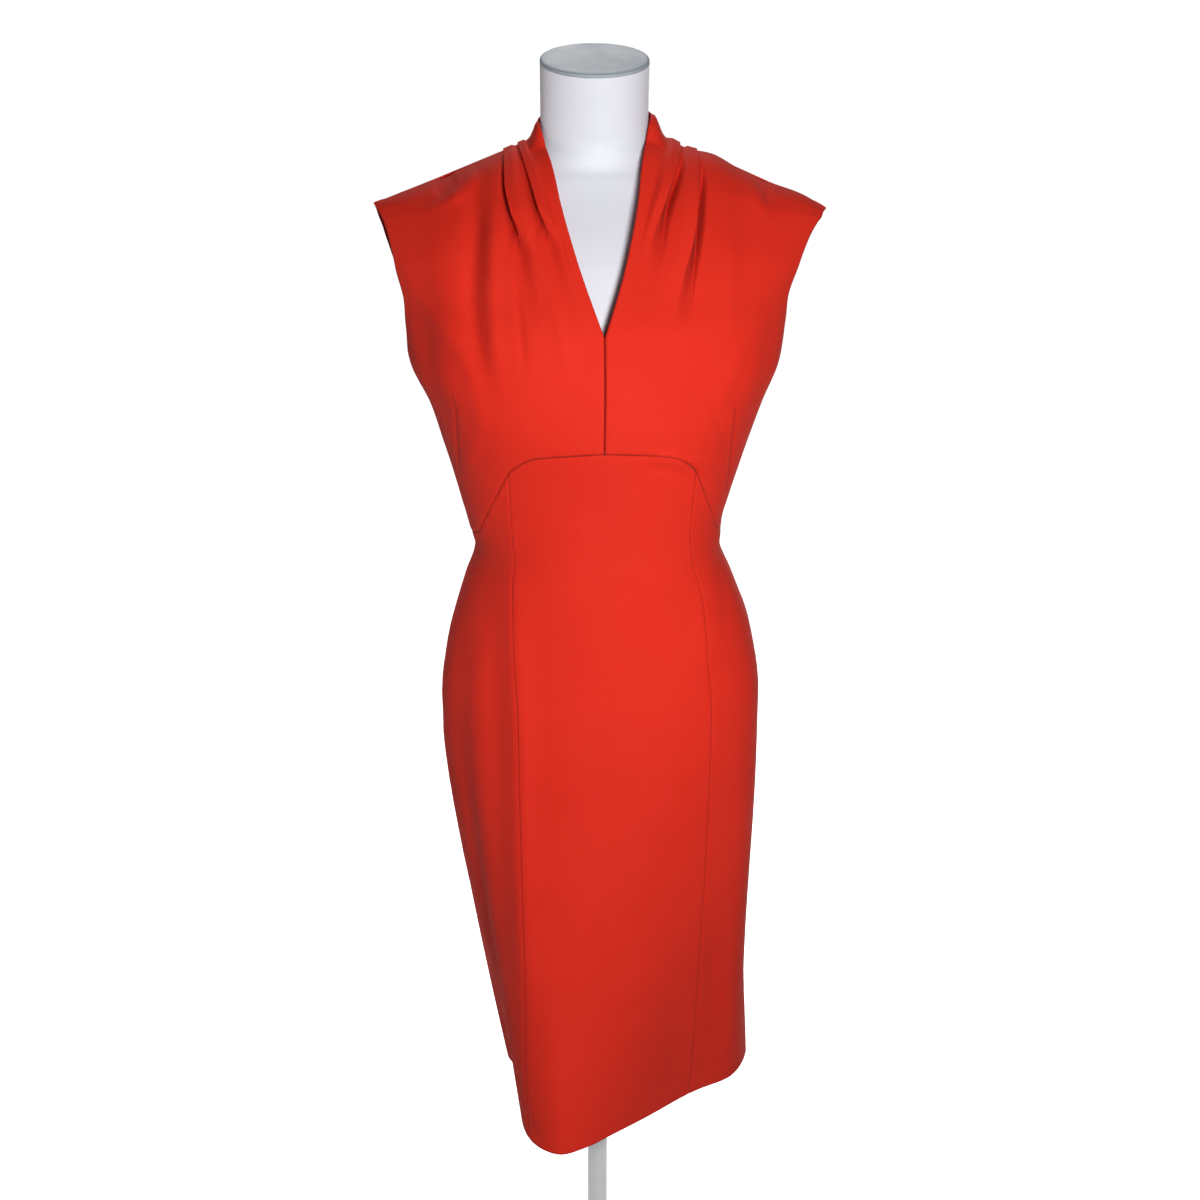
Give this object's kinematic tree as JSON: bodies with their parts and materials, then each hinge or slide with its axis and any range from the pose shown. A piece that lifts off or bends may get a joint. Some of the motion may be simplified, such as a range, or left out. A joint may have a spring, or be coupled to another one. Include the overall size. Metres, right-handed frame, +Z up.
{
  "type": "pleated dress on a limbless dress form",
  "caption": "Sleeveless V-neck sheath dress with pleated shoulders, an arched seam under the bust and a slim skirt, on a limbless dress form with a round base.",
  "frame": {"origin": "centre of the underside of the form's round base, on the floor", "axes": "+Z up along the stand's pole, -Y the way the dress faces, +X towards the wearer's left"},
  "size_m": [0.4466, 0.356, 1.5925],
  "materials": {
    "crepe": "matte",
    "form_cover": "matte",
    "neck_cap": "matte",
    "stand_paint": "satin",
    "zip_metal": "satin"
  },
  "bodies": {
    "dress_and_form": {"front_bodice_right": "crepe", "front_bodice_left": "crepe", "back_bodice_right": "crepe", "back_bodice_left": "crepe", "skirt_front_center": "crepe", "skirt_front_side_right": "crepe", "skirt_front_side_left": "crepe", "skirt_back_right": "crepe", "skirt_back_left": "crepe", "form_torso": "form_cover", "form_neck_cap": "neck_cap", "form_pole": "stand_paint", "form_base": "stand_paint", "zip_slider": "zip_metal"},
    "pull_tab": {"zip_pull": "zip_metal"}
  },
  "joints": [
    {"name": "pull_tab_hinge", "type": "hinge", "parent": "dress_and_form", "child": "pull_tab", "pos_m": [0, 0.06756, 1.51833], "axis": [1, 0, 0], "range_deg": [0, 130]}
  ]
}
